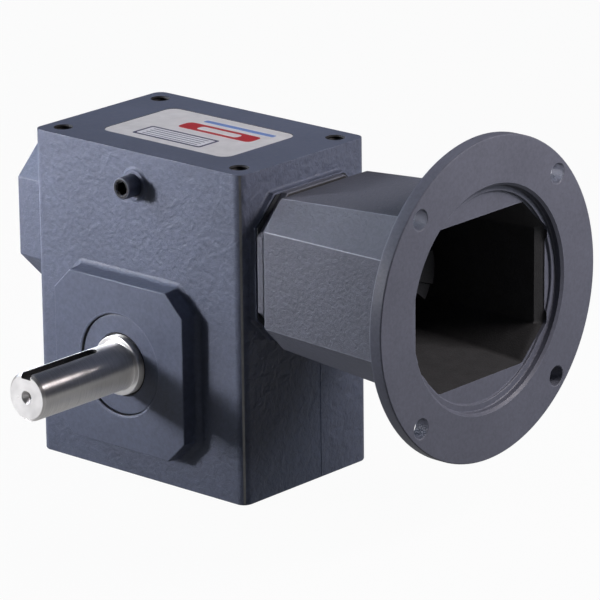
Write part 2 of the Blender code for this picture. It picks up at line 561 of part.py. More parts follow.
def make_worm():
    bearing = INPUT_BEARING
    profile = [
        (0, -79.8), (9.2, -79.8), (10.0, -79.0), (10.0, -66.0), (13.5, -66.0), (13.5, -58.0),
        (WORM_ROOT_RADIUS, -56.0), (WORM_ROOT_RADIUS, 50.0), (18.0, 54.0), (18.0, 61.0),
        (bearing["bore"], 61.0), (bearing["bore"], 77.5), (14.4, 77.5), (14.4, 79.1),
        (bearing["bore"], 79.1), (bearing["bore"], 81.0), (12.5, 83.0), (12.5, 97.5),
        (INPUT_SHAFT_RADIUS, 99.0), (INPUT_SHAFT_RADIUS, INPUT_SHAFT_END - 1),
        (INPUT_SHAFT_RADIUS - 0.8, INPUT_SHAFT_END - 0.2), (0, INPUT_SHAFT_END - 0.2),
    ]
    worm = lathe("worm_shaft", profile, "X", STEEL, WORM_AXIS, 20)
    steps = 20
    turns = THREAD_HALF_LENGTH * 2 / LEAD
    sections = []
    for step in range(int(turns * steps) + 1):
        angle = 2 * math.pi * step / steps
        middle = LEAD * angle / (2 * math.pi) - THREAD_HALF_LENGTH
        inside = min(step, int(turns * steps) - step) / (0.5 * steps)
        tip = WORM_ROOT_RADIUS + 0.3 + (WORM_TIP_RADIUS - WORM_ROOT_RADIUS - 0.3) * min(1.0, inside)
        base = WORM_ROOT_RADIUS - 1.0
        around = angle - math.pi / 2 - 2 * math.pi * THREAD_HALF_LENGTH / LEAD
        for radius, side in ((base, -1), (tip, -1), (tip, 1), (base, 1)):
            x = middle + side * thread_half(radius)
            sections.append((x, radius * math.cos(around), radius * math.sin(around)))
    last = len(sections) - 4
    faces = [[3, 2, 1, 0], [last, last + 1, last + 2, last + 3]]
    for row in range(0, last, 4):
        faces += [[row + k, row + (k + 1) % 4, row + 4 + (k + 1) % 4, row + 4 + k] for k in range(4)]
    add(worm, made_object("worm_thread", sections, faces, at=WORM_AXIS))
    key_seat = block("input_keyway", (103.0, 126.0), (-2.5, 2.5), (5.5, 12.0), at=WORM_AXIS)
    cut(worm, key_seat)
    block("coupling_key", (103.3, 125.7), (-2.35, 2.35), (5.7, 10.2), STEEL, WORM_AXIS)
    ring = [(14.6, 77.7), (17.8, 77.7), (17.8, 78.9), (14.6, 78.9)]
    snap = lathe("snap_ring", ring, "X", DARK_STEEL, WORM_AXIS, 24, ring=True)
    cut(snap, block("snap_gap", (76, 81), (-3.5, 3.5), (8, 20), at=WORM_AXIS))


def sector(inner, outer, middle, width, steps):
    """An annular sector outline, with angles in degrees."""
    angles = np.radians(np.linspace(middle - width / 2, middle + width / 2, steps + 1))
    points = [(outer * math.cos(a), outer * math.sin(a)) for a in angles]
    return points + [(inner * math.cos(a), inner * math.sin(a)) for a in angles[::-1]]


def make_coupling():
    bore = INPUT_SHAFT_RADIUS + FIT
    body = [(bore, 105.5), (25.8, 105.5), (26.8, 106.5), (26.8, 128.0), (bore, 128.0)]
    hub = lathe("coupling_hub", body, "X", IRON, WORM_AXIS, 30, ring=True)
    for n in range(3):
        jaw = sector(13.2, 26.8, 120 * n, 40, 4)
        add(hub, prism(f"jaw_{n}", jaw, 126.0, 140.0, "X", at=WORM_AXIS))
    cut(hub, block("coupling_keyway", (100.0, 132.0), (-2.5, 2.5), (6.0, 10.4), at=WORM_AXIS))
    screw_at = (116.0, 0, WORM_HEIGHT)
    cut(hub, drill("screw_hole", 3.4, 6.0, 30.0, "Z", screw_at, 12))
    screw = [(2.4, 10.6), (3.1, 11.4), (3.1, 23.6)]
    screw = lathe("coupling_set_screw", screw, "Z", DARK_STEEL, screw_at, 14)
    cut(screw, prism("screw_socket", hexagon(3.1), 20.0, 25.0, "Z", at=screw_at))
    ring = [(6.6, 128.5), (12.8, 128.5), (12.8, 139.5), (6.6, 139.5)]
    spider = lathe("coupling_spider", ring, "X", SPIDER, WORM_AXIS, 24, ring=True)
    for n in range(6):
        leg = sector(12.0, 26.2, 30 + 60 * n, 17.5, 2)
        add(spider, prism(f"spider_leg_{n}", leg, 129.0, 139.0, "X", at=WORM_AXIS))


make_housing()
make_plate_and_plugs()
make_cover()
make_adapter()
make_seals()
make_output_bearing(-1, "front")
make_output_bearing(1, "rear")
make_ball_bearing(INPUT_BEARING, "input")
make_ball_bearing(CLOSED_BEARING, "closed")
make_output_shaft()
make_gear_rim()
make_worm()
make_coupling()
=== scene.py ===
import json
import math

import bmesh
import bpy
from mathutils import Matrix, Vector


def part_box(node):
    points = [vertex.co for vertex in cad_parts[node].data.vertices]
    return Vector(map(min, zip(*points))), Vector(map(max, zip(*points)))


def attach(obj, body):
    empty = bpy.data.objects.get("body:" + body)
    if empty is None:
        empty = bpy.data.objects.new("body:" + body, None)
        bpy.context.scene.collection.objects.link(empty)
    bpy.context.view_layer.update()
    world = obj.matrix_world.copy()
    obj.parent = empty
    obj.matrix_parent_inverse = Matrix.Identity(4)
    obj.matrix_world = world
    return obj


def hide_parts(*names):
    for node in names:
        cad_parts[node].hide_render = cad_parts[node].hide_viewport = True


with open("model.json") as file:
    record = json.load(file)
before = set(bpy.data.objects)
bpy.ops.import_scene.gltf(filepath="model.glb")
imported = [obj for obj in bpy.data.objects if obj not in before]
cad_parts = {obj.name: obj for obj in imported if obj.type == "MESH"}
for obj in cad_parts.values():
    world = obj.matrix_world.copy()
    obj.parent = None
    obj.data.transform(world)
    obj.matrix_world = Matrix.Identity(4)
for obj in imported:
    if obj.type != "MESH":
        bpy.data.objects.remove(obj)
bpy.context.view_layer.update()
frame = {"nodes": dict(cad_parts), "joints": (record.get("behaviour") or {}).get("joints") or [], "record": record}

MM = 0.001
HOME = "gearbox_frame"
SHARP_ANGLE = 32


# ---------------------------------------------------------------- places taken from the frame
def mm_box(node):
    low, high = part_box(node)
    return [v / MM for v in low], [v / MM for v in high]


HOUSING_LOW, HOUSING_HIGH = mm_box("housing")
ADAPTER_LOW, ADAPTER_HIGH = mm_box("motor_adapter")
SHAFT_END = mm_box("output_shaft")[0][1]
PLATE_LOW, PLATE_HIGH = mm_box("nameplate")
VENT_LOW, VENT_HIGH = mm_box("vent_plug")
DRAIN_LOW, DRAIN_HIGH = mm_box("drain_plug")
JOINTS = {joint["name"]: joint for joint in frame["joints"]}
OUTPUT_Z = JOINTS["output_spin"]["pos_m"][2] / MM
WORM_Z = JOINTS["worm_spin"]["pos_m"][2] / MM
OUTPUT = (0, 0, OUTPUT_Z)
WORM = (0, 0, WORM_Z)

TOP = HOUSING_HIGH[2]
BODY_X = (-67.0, 77.0)
BODY_Y = (-48.0, HOUSING_HIGH[1])
MIDDLE_X = sum(BODY_X) / 2
PAD_Y = HOUSING_LOW[1]
CLOSED_END = HOUSING_LOW[0]
OPEN_END = HOUSING_HIGH[0]
MOTOR_FACE = ADAPTER_HIGH[0]
FLANGE_BACK = MOTOR_FACE - 7.8
ADAPTER_START = 81.5
FLANGE_RADIUS = (ADAPTER_HIGH[2] - ADAPTER_LOW[2]) / 2
PLUG_X = (VENT_LOW[0] + VENT_HIGH[0]) / 2
PLUG_Z = (VENT_LOW[2] + VENT_HIGH[2]) / 2
DRAIN_Z = (DRAIN_LOW[2] + DRAIN_HIGH[2]) / 2

# Sizes that the boxes don't give; screws and holes stand on a square of this half side
CORNER_RADIUS = 5.5
WALL = 8.0
PAD_HALF, PAD_CORNER = 45, 11.5
MOUNTING_HOLES = (61.1, 36.5)
MOUNTING_HOLE_RADIUS = 4.4
MOUNTING_HOLE_DEPTH = 19
COVER_HALF, COVER_CORNER = 58, 12
COVER_SCREWS = 45.5
COVER_OPENING = 51.5
ADAPTER_SCREWS = 37.0 / math.sqrt(2)
MOTOR_HOLES = 74.61 / math.sqrt(2)
REGISTER_RADIUS = 57.15
REGISTER_DEPTH = 4.3
SHAFT_RADIUS, JOURNAL_RADIUS = 12.7, 15.7
PLATE_HALF = (43.6, 27.5)
PLATE_CORNER = 6


# ---------------------------------------------------------------- mesh helpers, in millimetres
def along(axis, height, first, second):
    if axis == "X":
        return (height, first, second)
    if axis == "Y":
        return (second, height, first)
    return (first, second, height)


def solid(name, verts, faces, at=(0, 0, 0)):
    mesh = bpy.data.meshes.new(name)
    mesh.from_pydata([(Vector(v) + Vector(at)) * MM for v in verts], [], faces)
    tidy = bmesh.new()
    tidy.from_mesh(mesh)
    bmesh.ops.recalc_face_normals(tidy, faces=tidy.faces)
    tidy.to_mesh(mesh)
    tidy.free()
    obj = bpy.data.objects.new(name, mesh)
    bpy.context.scene.collection.objects.link(obj)
    return obj


def lathe(name, profile, axis, at=(0, 0, 0), segments=64, ring=False):
    """Turns (radius, height) pairs about the axis. A ring joins its last pair to its first."""
    verts, rows, faces = [], [], []
    for radius, height in profile:
        if radius == 0:
            rows.append([len(verts)] * segments)
            verts.append(along(axis, height, 0, 0))
            continue
        rows.append(list(range(len(verts), len(verts) + segments)))
        for step in range(segments):
            turn = 2 * math.pi * step / segments
            verts.append(along(axis, height, radius * math.cos(turn), radius * math.sin(turn)))
    for low, high in zip(rows, rows[1:] + ([rows[0]] if ring else [])):
        for step in range(segments):
            after = (step + 1) % segments
            quad = [low[step], low[after], high[after], high[step]]
            faces.append([v for n, v in enumerate(quad) if v not in quad[:n]])
    for (radius, _), row in ((profile[0], rows[0]), (profile[-1], rows[-1])):
        if not ring and radius > 0:
            faces.append(row)
    return solid(name, verts, faces, at)


def loft(name, sections, axis, at=(0, 0, 0)):
    """Joins sections of (height, [(first, second), ...]) with the same number of points each."""
    count = len(sections[0][1])
    verts = [along(axis, height, *point) for height, points in sections for point in points]
    faces = [list(range(count)), list(range(len(verts) - count, len(verts)))]
    for row in range(0, len(verts) - count, count):
        for step in range(count):
            after = (step + 1) % count
            faces.append([row + step, row + after, row + count + after, row + count + step])
    return solid(name, verts, faces, at)


def softened(points, radius, steps=4):
    """The polygon with each corner turned into an arc."""
    made = []
    for n, point in enumerate(points):
        here = Vector(point)
        back = (Vector(points[n - 1]) - here).normalized()
        on = (Vector(points[(n + 1) % len(points)]) - here).normalized()
        half = math.acos(max(-1, min(1, back.dot(on)))) / 2
        middle = here + (back + on).normalized() * radius / math.sin(half)
        reach = radius / math.tan(half)
        first = here + back * reach - middle
        last = here + on * reach - middle
        for step in range(steps + 1):
            made.append(middle + first.slerp(last, step / steps).normalized() * radius)
    return [tuple(p) for p in made]


def eight(size, grow=0.0, radius=1.5, steps=4):
    """A rounded octagon from (half_first, half_second, flat_first, flat_second), grown outwards."""
    a, b, fa, fb = size
    a, b, fa, fb = a + grow, b + grow, fa + 0.41 * grow, fb + 0.41 * grow
    corners = [(a, -fb), (a, fb), (fa, b), (-fa, b), (-a, fb), (-a, -fb), (-fa, -b), (fa, -b)]
    return softened(corners, max(0.25, radius + grow), steps)


def cut_square(a, b, corner):
    return (a, b, a - corner, b - corner)


def oblong(x, y, radius, steps=6, grow=0.0):
    x, y = (x[0] - grow, x[1] + grow), (y[0] - grow, y[1] + grow)
    corners = [(x[1], y[1]), (x[0], y[1]), (x[0], y[0]), (x[1], y[0])]
    return softened(corners, max(0.1, radius + grow), steps)


def hexagon(across, turn=0.0):
    radius = across / math.sqrt(3)
    return [(radius * math.cos(math.pi * n / 3 + turn), radius * math.sin(math.pi * n / 3 + turn))
            for n in range(6)]


def prism(name, points, low, high, axis, at=(0, 0, 0)):
    return loft(name, [(low, points), (high, points)], axis, at)


def block(name, x, y, z, at=(0, 0, 0)):
    outline = [(x[0], y[0]), (x[1], y[0]), (x[1], y[1]), (x[0], y[1])]
    return prism(name, outline, z[0], z[1], "Z", at)


def combined(obj, *steps):
    """Applies each (operation, tool) in turn, and removes the tools."""
    for operation, tool in steps:
        modifier = obj.modifiers.new(tool.name, "BOOLEAN")
        modifier.operation = operation
        modifier.object = tool
        modifier.solver = "EXACT"
    bpy.context.view_layer.update()
    graph = bpy.context.evaluated_depsgraph_get()
    made = bpy.data.meshes.new_from_object(obj.evaluated_get(graph))
    obj.modifiers.clear()
    obj.data = made
    for _, tool in steps:
        bpy.data.objects.remove(tool, do_unlink=True)
    return obj


def corners(spread):
    a, b = spread if isinstance(spread, tuple) else (spread, spread)
    return [(a, b), (-a, b), (-a, -b), (a, -b)]


def finished(obj, body, nodes, paints, rule=None, origin=None):
    """Gives a piece its materials, smooth shading, body and the CAD nodes that it stands for."""
    mesh = obj.data
    if origin is not None:
        mesh.transform(Matrix.Translation(-Vector(origin) * MM))
        obj.location = Vector(origin) * MM
    mesh.materials.clear()
    for paint in paints:
        mesh.materials.append(paint)
    shift = Vector(origin or (0, 0, 0))
    for face in mesh.polygons:
        face.material_index = rule(face.center / MM + shift, face.normal) if rule else 0
        face.use_smooth = True
    mesh.set_sharp_from_angle(angle=math.radians(SHARP_ANGLE))
    weighted = obj.modifiers.new("even_normals", "WEIGHTED_NORMAL")
    weighted.keep_sharp = True
    weighted.weight = 90
    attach(obj, body)
    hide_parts(*nodes)
    return obj


# ---------------------------------------------------------------- materials
class Shader:
    """A short way to write node trees."""

    def __init__(self, name, colour, roughness, metallic=0.0, specular=0.5):
        self.material = bpy.data.materials.new(name)
        self.material.use_nodes = True
        self.tree = self.material.node_tree
        self.bsdf = self.tree.nodes["Principled BSDF"]
        self.bsdf.inputs["Base Color"].default_value = (*colour, 1)
        self.bsdf.inputs["Roughness"].default_value = roughness
        self.bsdf.inputs["Metallic"].default_value = metallic
        self.bsdf.inputs["Specular IOR Level"].default_value = specular
        self.coords = self.node("ShaderNodeTexCoord").outputs["Object"]

    def node(self, kind, **settings):
        made = self.tree.nodes.new(kind)
        for name, value in settings.items():
            setattr(made, name, value)
        return made

    def put(self, socket, value):
        if isinstance(value, bpy.types.NodeSocket):
            self.tree.links.new(value, socket)
        elif isinstance(value, tuple) and len(value) == 3 and socket.type == "RGBA":
            socket.default_value = (*value, 1)
        else:
            socket.default_value = value

    def noise(self, scale, detail=2.0, roughness=0.5, distortion=0.0, stretch=None):
        made = self.node("ShaderNodeTexNoise")
        source = self.coords
        if stretch:
            mapping = self.node("ShaderNodeMapping")
            self.put(mapping.inputs["Vector"], source)
            mapping.inputs["Scale"].default_value = stretch
            source = mapping.outputs["Vector"]
        self.put(made.inputs["Vector"], source)
        for name, value in (("Scale", scale), ("Detail", detail), ("Roughness", roughness),
                            ("Distortion", distortion)):
            made.inputs[name].default_value = value
        return made.outputs["Fac"]

    def math(self, operation, first, second=0.0, clamp=False):
        made = self.node("ShaderNodeMath", operation=operation, use_clamp=clamp)
        self.put(made.inputs[0], first)
        self.put(made.inputs[1], second)
        return made.outputs[0]

    def between(self, value, low, high, start=0.0, end=1.0):
        made = self.node("ShaderNodeMapRange", clamp=True)
        for name, number in (("Value", value), ("From Min", low), ("From Max", high),
                             ("To Min", start), ("To Max", end)):
            self.put(made.inputs[name], number)
        return made.outputs["Result"]

    def mix(self, amount, first, second):
        made = self.node("ShaderNodeMix", data_type="RGBA")
        self.put(made.inputs["Factor"], amount)
        self.put(made.inputs[6], first)
        self.put(made.inputs[7], second)
        return made.outputs[2]

    def edges(self, radius, low, high):
        """1 on edges within this radius, 0 on flats."""
        bevel = self.node("ShaderNodeBevel", samples=6)
        bevel.inputs["Radius"].default_value = radius * MM
        dot = self.node("ShaderNodeVectorMath", operation="DOT_PRODUCT")
        self.put(dot.inputs[0], bevel.outputs["Normal"])
        self.put(dot.inputs[1], self.node("ShaderNodeNewGeometry").outputs["True Normal"])
        return self.between(dot.outputs["Value"], high, low)

    def colour(self, value):
        self.put(self.bsdf.inputs["Base Color"], value)

    def rough(self, value):
        self.put(self.bsdf.inputs["Roughness"], value)

    def bump(self, height, distance, strength=1.0):
        made = self.node("ShaderNodeBump")
        made.inputs["Strength"].default_value = strength
        made.inputs["Distance"].default_value = distance * MM
        self.put(made.inputs["Height"], height)
        self.put(self.bsdf.inputs["Normal"], made.outputs["Normal"])


def paint(name, colour, roughness, grain, spread, lumps=0.0, wear_and_highlight=0.8):
    """Enamel over a casting. grain is the depth of the sand texture in mm, spread its size.

    lumps is the height of broader unevenness, and the last argument how far the edges are lightened, partly as
    rubbed paint and partly as a painted highlight.
    """
    made = Shader(name, colour, roughness, 0.0, 0.3)
    fine = made.noise(1100 / spread, 3.0, 0.62, 0.4)
    coarse = made.noise(330 / spread, 3.0, 0.55, 0.6)
    patches = made.noise(26, 2.0, 0.6)
    shade = made.between(patches, 0.3, 0.7, 0.93, 1.06)
    pit = made.between(coarse, 0.34, 0.66, 0.9, 1.08)
    value = made.math("MULTIPLY", shade, pit)
    tint = made.node("ShaderNodeMix", data_type="RGBA", blend_type="MULTIPLY")
    tint.inputs["Factor"].default_value = 1.0
    made.put(tint.inputs[6], colour)
    combine = made.node("ShaderNodeCombineColor")
    for channel in range(3):
        made.put(combine.inputs[channel], value)
    made.put(tint.inputs[7], combine.outputs["Color"])
    # Edges are lightened, partly as worn paint and partly as a painted highlight where rounded edges catch the
    # light.
    worn_and_highlit_colour = tuple(min(1.0, c * 1.6 + 0.04) for c in colour)
    speckle = made.between(fine, 0.4, 0.62, 0.3 * wear_and_highlight, wear_and_highlight)
    rubbed_and_highlit_edges = made.math("MULTIPLY", made.edges(0.7, 0.86, 0.995), speckle)
    made.colour(made.mix(rubbed_and_highlit_edges, tint.outputs[2], worn_and_highlit_colour))
    made.rough(made.between(coarse, 0.3, 0.7, roughness - 0.06, roughness + 0.1))
    height = made.math("ADD", made.math("MULTIPLY", fine, 0.45), coarse)
    if lumps:
        broad = made.noise(120, 2.0, 0.5, 0.8)
        height = made.math("ADD", height, made.math("MULTIPLY", broad, lumps / grain))
    made.bump(height, grain)
    return made.material


def steel(name, colour, roughness, lines, anisotropic=0.0, tangent=None, across="Y", turn=0.0):
    """Bright metal with fine turning lines that run round the axis across."""
    made = Shader(name, colour, roughness, 1.0)
    stretch = {"X": (1.0, 0.02, 0.02), "Y": (0.02, 1.0, 0.02), "Z": (0.02, 0.02, 1.0)}[across]
    turned = made.noise(4200, 2.0, 0.6, 0.0, stretch)
    smear = made.noise(60, 3.0, 0.6)
    made.rough(made.between(smear, 0.3, 0.7, roughness - 0.05, roughness + 0.08))
    dark = tuple(c * 0.8 for c in colour)
    made.colour(made.mix(made.between(turned, 0.35, 0.65), dark, colour))
    made.bump(turned, lines)
    made.bsdf.inputs["Anisotropic"].default_value = anisotropic
    made.bsdf.inputs["Anisotropic Rotation"].default_value = turn
    if tangent:
        node = made.node("ShaderNodeTangent", direction_type="RADIAL", axis=tangent)
        made.put(made.bsdf.inputs["Tangent"], node.outputs["Tangent"])
    return made.material


def rubbery(name, colour, roughness):
    made = Shader(name, colour, roughness, 0.0, 0.4)
    fine = made.noise(1500, 2.0, 0.6)
    broad = made.noise(90, 2.0, 0.6)
    dusty = tuple(c * 1.8 + 0.004 for c in colour)
    made.colour(made.mix(made.between(broad, 0.3, 0.7), colour, dusty))
    made.rough(made.between(fine, 0.3, 0.7, roughness - 0.08, roughness + 0.1))
    made.bump(fine, 0.03)
    return made.material


def casting(name, colour, roughness, metallic):
    made = Shader(name, colour, roughness, metallic)
    fine = made.noise(1300, 3.0, 0.6)
    broad = made.noise(140, 3.0, 0.6)
    made.colour(made.mix(made.between(broad, 0.3, 0.7), tuple(c * 0.72 for c in colour), colour))
    made.rough(made.between(fine, 0.3, 0.7, roughness - 0.08, roughness + 0.12))
    made.bump(fine, 0.12)
    return made.material


def printed(name, colour, roughness=0.4):
    made = Shader(name, colour, roughness)
    speck = made.noise(1600, 2.0, 0.6)
    cloud = made.noise(120, 2.0, 0.6)
    made.colour(made.mix(made.between(cloud, 0.3, 0.7), tuple(c * 0.88 for c in colour), colour))
    made.rough(made.between(speck, 0.3, 0.7, roughness - 0.07, roughness + 0.07))
    made.bump(speck, 0.01)
    return made.material


BLUE = (0.132, 0.15, 0.21)
CAST_PAINT = paint("cast_paint", BLUE, 0.44, 0.26, 0.8, 0.5)
ROUGH_PAINT = paint("rough_cast_paint", BLUE, 0.4, 0.6, 1.1, 1.2)
FLAT_PAINT = paint("machined_paint", BLUE, 0.4, 0.025, 0.7)
# The adapter's edges get the strongest lightening, mostly a painted highlight.
ADAPTER_CAST = paint("adapter_cast_paint", (0.145, 0.153, 0.19), 0.46, 0.42, 0.8, 0.0, 1.5)
ADAPTER_FLAT = paint("adapter_machined_paint", (0.143, 0.15, 0.19), 0.42, 0.02, 0.6)
# A lighter copy of the adapter paint for the strips along its octagon edges: a painted highlight.
ADAPTER_EDGE_HIGHLIGHT = paint("adapter_edge_painted_highlight", (0.29, 0.305, 0.36), 0.42, 0.06, 0.8)
PLUG_PAINT = paint("plug_paint", (0.075, 0.085, 0.118), 0.34, 0.04, 0.6)
# Near black for the inside of the adapter's hollow: painted shade for the deep cavity.
CAVITY_SHADE = casting("cavity_painted_shade", (0.045, 0.045, 0.047), 0.75, 0.0)
RAW_IRON = casting("machined_iron", (0.2, 0.2, 0.205), 0.42, 0.8)
# Nearly black iron for tapped holes, sockets and the cavity ends: painted shade in these recesses.
HOLE_SHADE_IRON = casting("tapped_iron_painted_shade", (0.035, 0.034, 0.036), 0.5, 0.3)
SHAFT_STEEL = steel("turned_steel", (0.84, 0.82, 0.81), 0.42, 0.002, 0.95, "Y", "Y", 0.25)
FACED_STEEL = steel("faced_steel", (0.93, 0.92, 0.92), 0.3, 0.001)
WORM_STEEL = steel("worm_steel", (0.62, 0.6, 0.57), 0.2, 0.006, across="X")
BEARING = steel("bearing_race_steel", (0.62, 0.62, 0.63), 0.16, 0.002)
BLACK_OXIDE = steel("black_oxide", (0.05, 0.05, 0.055), 0.38, 0.004)
BRONZE = steel("gear_bronze", (0.62, 0.37, 0.13), 0.3, 0.006)
IRON = casting("grey_iron", (0.17, 0.17, 0.175), 0.5, 0.7)
# Dark steel for the keyway's faces: milled steel darkened as painted shade in the slot.
MILLED_STEEL_PAINTED_SHADE = casting("milled_steel_painted_shade", (0.1, 0.098, 0.098), 0.42, 0.7)
DARK_IRON = casting("phosphated_iron", (0.03, 0.03, 0.032), 0.6, 0.2)
RUBBER = rubbery("nitrile_rubber", (0.012, 0.012, 0.013), 0.5)
PAPER = rubbery("gasket_sheet", (0.03, 0.033, 0.038), 0.8)
SPIDER = rubbery("moulded_elastomer", (0.016, 0.016, 0.018), 0.6)
PLATE = printed("label_silver", (0.86, 0.845, 0.85), 0.42)
PLATE.node_tree.nodes["Principled BSDF"].inputs["Metallic"].default_value = 0.1
RED = printed("label_red", (0.55, 0.045, 0.055))
NAVY = printed("label_navy", (0.03, 0.035, 0.11))
WHITE = printed("label_white", (0.86, 0.86, 0.9))
AZURE = printed("label_azure", (0.2, 0.32, 0.66))

for row in frame["record"]["subparts"]:
    look = {
        "blue_grey_paint": CAST_PAINT, "adapter_paint": ADAPTER_CAST, "plate_aluminium": PLATE,
        "ground_steel": WORM_STEEL, "bearing_steel": BEARING, "black_oxide_steel": BLACK_OXIDE,
        "bronze": BRONZE, "cast_iron": IRON, "seal_rubber": RUBBER, "gasket_fibre": PAPER,
        "spider_rubber": SPIDER,
    }[row["material_slot"]]
    if row["node"] == "coupling_hub":
        look = DARK_IRON
    node = frame["nodes"][row["node"]]
    for place in node.material_slots:
        place.material = look


# The rollers stand a little clear of the flats between the facets of the races.
for name in ("output_cage_front", "output_cage_rear"):
    thinner = frame["nodes"][name].modifiers.new("running_clearance", "DISPLACE")
    thinner.direction = "NORMAL"
    thinner.mid_level = 0.0
    thinner.strength = -0.15 * MM


# ---------------------------------------------------------------- housing
def boss_sections(size, end, wall, face_round, draft, fillet, radius=1.5):
    """Sections of a boss from its face at end to inside the wall, with a fillet where they meet."""
    out = math.copysign(1, end - wall)
    rows = [(end, -face_round), (end - out * 0.12 * face_round, -0.5 * face_round),
            (end - out * 0.5 * face_round, -0.12 * face_round), (end - out * face_round, 0.0)]
    foot = draft * (abs(end - wall) - fillet)
    rows.append((wall + out * fillet, foot))
    for angle in (18, 36, 54, 72, 84):
        turn = math.radians(angle)
        height = wall + out * fillet * (1 - math.sin(turn))
        rows.append((height, foot + fillet * (1 - math.cos(turn))))
    rows.append((wall - out * 2.5, rows[-1][1]))
    return [(height, eight(size, grow, radius)) for height, grow in rows]


def thread(name, radius, low, high, axis, at, mouth, pitch=1.5, depth=0.55):
    """A tapped hole's cutter: V grooves between low and high, and a chamfered mouth at high."""
    out = math.copysign(1, high - low)
    profile = [(radius - 0.6, low)]
    turns = int(abs(high - low) / pitch)
    for n in range(turns):
        profile += [(radius, low + out * n * pitch), (radius + depth, low + out * (n + 0.5) * pitch)]
    profile += [(radius, high - out * mouth), (radius + mouth, high), (radius + mouth, high + out)]
    return lathe(name, profile, axis, at, 24)


def make_housing():
    rows = [(0, -0.9), (0.25, -0.35), (0.9, 0), (TOP - 0.35, 0), (TOP - 0.1, -0.1), (TOP, -0.35)]
    sections = [(z, oblong(BODY_X, BODY_Y, CORNER_RADIUS, 7, grow)) for z, grow in rows]
    body = loft("housing_casting", sections, "Z")
    pad_size = cut_square(PAD_HALF, PAD_HALF, PAD_CORNER)
    pad = boss_sections(pad_size, PAD_Y, BODY_Y[0], 0.8, 0.1, 3.2)
    closed = boss_sections(cut_square(41.2, 36, 15), CLOSED_END, BODY_X[0], 1.6, 0.04, 3.0)
    opened = boss_sections(cut_square(41.2, 38.8, 14.4), OPEN_END, BODY_X[1], 0.35, 0.03, 1.3)
    spot = (PLUG_X, 0, PLUG_Z)
    flare = [(9.4, -46), (9.4, -48.02), (8.5, -48.35), (8.0, -48.9), (7.75, -49.4), (7.4, -49.6)]
    drain_at = (0, 0, DRAIN_Z)
    ring = [(8.4, -64), (8.4, -67.02), (7.8, -67.3), (7.4, -67.8), (7.0, -68.0)]
    steps = [
        ("UNION", loft("pad", pad, "Y", OUTPUT)),
        ("UNION", loft("closed_boss", closed, "X", WORM)),
        ("UNION", loft("open_boss", opened, "X", WORM)),
        ("UNION", lathe("plug_boss", flare, "Y", spot, 48)),
        ("UNION", lathe("drain_boss", ring, "X", drain_at, 48)),
    ]
    wall = BODY_X[1]
    seam = [(wall - 2, 10.3), (wall + 0.3, 10.7), (wall + 0.3, 11.3), (wall - 2, 11.7)]
    steps.append(("UNION", prism("parting_seam", seam, 0.9, WORM_Z - 30, "Z")))
    inner_x = (BODY_X[0] + WALL, BODY_X[1] - WALL)
    inner_y = (BODY_Y[0] + WALL, BODY_Y[1] - WALL)
    cavity = prism("cavity", oblong(inner_x, inner_y, 4), 9, TOP - WALL, "Z")
    posts = []
    for n, (dx, dy) in enumerate(corners((58.0, 34.0))):
        post_x, post_y = (dx - 12, dx + 12), (dy - 8, dy + 8)
        for level, z in enumerate([(0, 27), (TOP - 25, TOP)]):
            post = block(f"post_{n}_{level}", post_x, post_y, z, (MIDDLE_X, 0, 0))
            posts.append(("DIFFERENCE", post))
    posts.append(("DIFFERENCE", lathe("output_seat", [(36.5, -44), (36.5, -33.5)], "Y", OUTPUT, 48)))
    posts.append(("DIFFERENCE", lathe("input_seat", [(42.3, 57), (42.3, 73)], "X", WORM, 48)))
    combined(cavity, *posts)
    steps.append(("DIFFERENCE", cavity))
    front = [(28.2, -60), (28.2, -58), (27.0, -57.3), (27.0, -48.5), (29.75, -48.5), (29.75, -30)]
    steps.append(("DIFFERENCE", lathe("front_bore", front, "Y", OUTPUT, 96)))
    opening = [(COVER_OPENING, 36), (COVER_OPENING, 50)]
    steps.append(("DIFFERENCE", lathe("cover_opening", opening, "Y", OUTPUT, 80)))
    bore = [(27.0, 54), (27.0, 61), (31.2, 61), (31.2, 82)]
    steps.append(("DIFFERENCE", lathe("input_bore", bore, "X", WORM, 64)))
    steps.append(("DIFFERENCE", lathe("closed_bore", [(23.7, -81.3), (23.7, -57)], "X", WORM, 64)))
    radius, depth = MOUNTING_HOLE_RADIUS, MOUNTING_HOLE_DEPTH
    for n, (dx, dy) in enumerate(corners(MOUNTING_HOLES)):
        at = (MIDDLE_X + dx, dy, 0)
        steps.append(("DIFFERENCE", thread(f"top_{n}", radius, TOP - depth, TOP, "Z", at, 0.75)))
        steps.append(("DIFFERENCE", thread(f"base_{n}", radius, depth, 0, "Z", at, 0.75)))
    for n, (y, z) in enumerate(corners(ADAPTER_SCREWS)):
        at = (0, y, WORM_Z + z)
        tap = lathe(f"adapter_tap_{n}", [(4.2, 66), (4.2, 82)], "X", at, 24)
        steps.append(("DIFFERENCE", tap))
    for n, (x, z) in enumerate(corners(COVER_SCREWS)):
        at = (x, 0, OUTPUT_Z + z)
        tap = lathe(f"cover_tap_{n}", [(5.0, 38), (5.0, 50)], "Y", at, 24)
        steps.append(("DIFFERENCE", tap))
    steps.append(("DIFFERENCE", lathe("plug_hole", [(6.1, -52), (6.1, -38)], "Y", spot, 32)))
    steps.append(("DIFFERENCE", lathe("drain_hole", [(6.1, -70), (6.1, -57)], "X", drain_at, 32)))
    gap = 0.2
    half_x, half_y = PLATE_HALF[0] + gap, PLATE_HALF[1] + gap
    recess = oblong((-half_x, half_x), (-half_y, half_y), PLATE_CORNER + gap, 6)
    recess = prism("plate_recess", recess, TOP - 0.7, TOP + 1, "Z", (MIDDLE_X, 0, 0))
    steps.append(("DIFFERENCE", recess))
    combined(body, *steps)

    cast, flat, raw, hole, rough = range(5)

